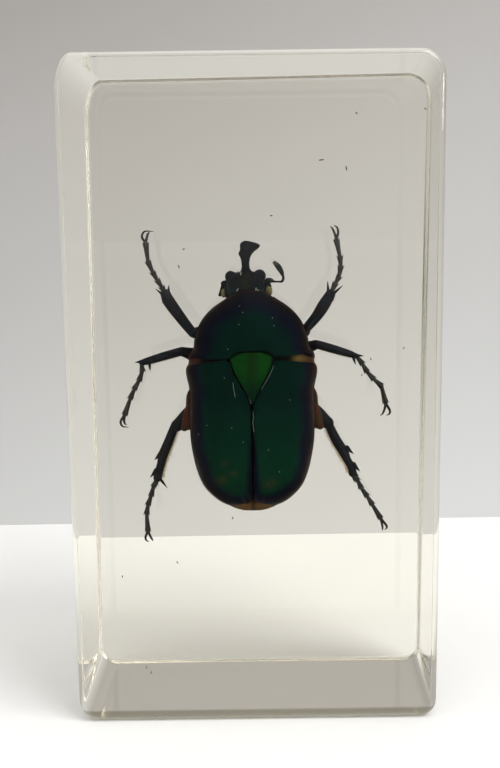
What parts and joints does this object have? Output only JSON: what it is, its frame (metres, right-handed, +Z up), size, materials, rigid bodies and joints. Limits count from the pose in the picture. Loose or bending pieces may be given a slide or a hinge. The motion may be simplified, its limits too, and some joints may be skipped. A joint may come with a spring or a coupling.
{
  "type": "beetle specimen in a clear resin block",
  "caption": "Clear resin block standing on its short end, with a horned green flower chafer cast inside, back to the front and legs spread.",
  "frame": {"origin": "middle of the base that the block stands on", "axes": "+Z up along the block's long side and towards the beetle's head, +X to the right and -Y towards the viewer, seen from the face that shows the beetle's back"},
  "size_m": [0.0406, 0.024, 0.073],
  "materials": {
    "resin": "clear cast resin, faintly yellow, polished",
    "elytron": "dark metallic green chitin, blue towards the rim",
    "pronotum": "dark metallic green chitin with a reddish rim",
    "scutellum": "bright metallic green chitin",
    "head": "nearly black chitin with a green sheen",
    "leg": "black chitin with a faint blue-green sheen",
    "underside": "dark reddish-brown chitin"
  },
  "bodies": {
    "root": {"resin_front_half": "resin", "resin_back_half": "resin", "head": "head", "left_antenna": "leg", "right_antenna": "leg", "pronotum": "pronotum", "scutellum": "scutellum", "left_elytron": "elytron", "right_elytron": "elytron", "thorax": "underside", "abdomen": "underside", "left_fore_leg": "leg", "left_mid_leg": "leg", "left_hind_leg": "leg", "right_fore_leg": "leg", "right_mid_leg": "leg", "right_hind_leg": "leg"}
  },
  "joints": []
}
